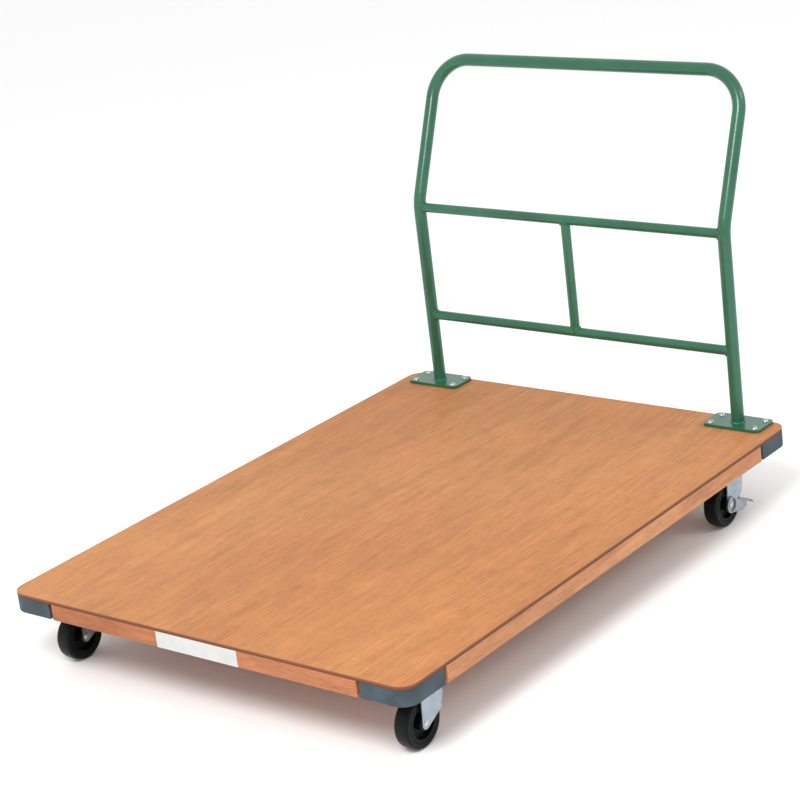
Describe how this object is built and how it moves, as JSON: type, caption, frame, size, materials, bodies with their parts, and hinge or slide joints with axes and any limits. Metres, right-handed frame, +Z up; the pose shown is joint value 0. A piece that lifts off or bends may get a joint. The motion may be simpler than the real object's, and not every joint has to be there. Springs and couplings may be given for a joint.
{
  "type": "flatbed platform truck",
  "caption": "Flatbed platform truck: plywood deck on a timber frame with corner guards, a bolted tubular steel push handle, and swivel casters, the rear ones with foot brakes.",
  "frame": {"origin": "on the floor, under the middle of the overall box", "axes": "+X to the right seen from the open end, +Y towards the handle, +Z up"},
  "size_m": [0.9, 1.2936, 0.8365],
  "materials": {
    "plywood": "clear-lacquered lauan plywood, satin, straight grain along the deck",
    "timber": "clear-lacquered reddish timber, satin",
    "guard": "moulded blue-grey plastic, matt",
    "name_plate": "plain white printed film, satin",
    "green_paint": "green stove enamel, semi-gloss",
    "bright_zinc": "bright zinc plating",
    "zinc": "pressed sheet steel, zinc plated",
    "wheel_core": "moulded black plastic, satin",
    "tyre": "black solid rubber, satin"
  },
  "bodies": {
    "chassis": {"deck_panel": "plywood", "side_rail_left": "timber", "side_rail_right": "timber", "front_rail": "timber", "rear_rail": "timber", "front_caster_board": "timber", "rear_caster_board": "timber", "mid_joists": "timber", "corner_guard_front_left": "guard", "corner_guard_front_right": "guard", "corner_guard_rear_left": "guard", "corner_guard_rear_right": "guard", "name_plate": "name_plate", "handle_hoop": "green_paint", "mid_rail": "green_paint", "low_rail": "green_paint", "centre_post": "green_paint", "base_plate_left": "green_paint", "base_plate_right": "green_paint", "handle_bolts": "bright_zinc", "handle_washers": "bright_zinc", "handle_nuts": "bright_zinc", "caster_plate_fl": "zinc", "caster_plate_fr": "zinc", "caster_plate_rl": "zinc", "caster_plate_rr": "zinc", "kingpins": "bright_zinc", "kingpin_washers": "bright_zinc", "caster_screws": "bright_zinc"},
    "caster_fl": {"fork_fl": "zinc", "swivel_balls_fl": "bright_zinc", "axle_pin_fl": "bright_zinc", "axle_sleeve_fl": "bright_zinc"},
    "wheel_fl": {"wheel_core_fl": "wheel_core", "tyre_fl": "tyre"},
    "caster_fr": {"fork_fr": "zinc", "swivel_balls_fr": "bright_zinc", "axle_pin_fr": "bright_zinc", "axle_sleeve_fr": "bright_zinc"},
    "wheel_fr": {"wheel_core_fr": "wheel_core", "tyre_fr": "tyre"},
    "caster_rl": {"fork_rl": "zinc", "swivel_balls_rl": "bright_zinc", "axle_pin_rl": "bright_zinc", "axle_sleeve_rl": "bright_zinc"},
    "wheel_rl": {"wheel_core_rl": "wheel_core", "tyre_rl": "tyre"},
    "caster_rr": {"fork_rr": "zinc", "swivel_balls_rr": "bright_zinc", "axle_pin_rr": "bright_zinc", "axle_sleeve_rr": "bright_zinc"},
    "wheel_rr": {"wheel_core_rr": "wheel_core", "tyre_rr": "tyre"},
    "brake_rl": {"brake_lever_rl": "zinc"},
    "brake_rr": {"brake_lever_rr": "zinc"}
  },
  "joints": [
    {"name": "swivel_fl", "type": "hinge", "parent": "chassis", "child": "caster_fl", "pos_m": [-0.387, -0.52429, 0.1135], "axis": [0, 0, 1], "continuous": true},
    {"name": "roll_fl", "type": "hinge", "parent": "caster_fl", "child": "wheel_fl", "pos_m": [-0.387, -0.55829, 0.045], "axis": [1, 0, 0], "continuous": true},
    {"name": "swivel_fr", "type": "hinge", "parent": "chassis", "child": "caster_fr", "pos_m": [0.387, -0.52429, 0.1135], "axis": [0, 0, 1], "continuous": true},
    {"name": "roll_fr", "type": "hinge", "parent": "caster_fr", "child": "wheel_fr", "pos_m": [0.387, -0.55829, 0.045], "axis": [1, 0, 0], "continuous": true},
    {"name": "swivel_rl", "type": "hinge", "parent": "chassis", "child": "caster_rl", "pos_m": [-0.387, 0.43172, 0.1135], "axis": [0, 0, 1], "continuous": true},
    {"name": "roll_rl", "type": "hinge", "parent": "caster_rl", "child": "wheel_rl", "pos_m": [-0.387, 0.39771, 0.045], "axis": [1, 0, 0], "continuous": true},
    {"name": "swivel_rr", "type": "hinge", "parent": "chassis", "child": "caster_rr", "pos_m": [0.387, 0.43172, 0.1135], "axis": [0, 0, 1], "continuous": true},
    {"name": "roll_rr", "type": "hinge", "parent": "caster_rr", "child": "wheel_rr", "pos_m": [0.387, 0.39771, 0.045], "axis": [1, 0, 0], "continuous": true},
    {"name": "brake_rl_pedal", "type": "hinge", "parent": "caster_rl", "child": "brake_rl", "pos_m": [-0.387, 0.39771, 0.045], "axis": [1, 0, 0], "range_deg": [0, 25]},
    {"name": "brake_rr_pedal", "type": "hinge", "parent": "caster_rr", "child": "brake_rr", "pos_m": [0.387, 0.39771, 0.045], "axis": [1, 0, 0], "range_deg": [0, 25]}
  ]
}
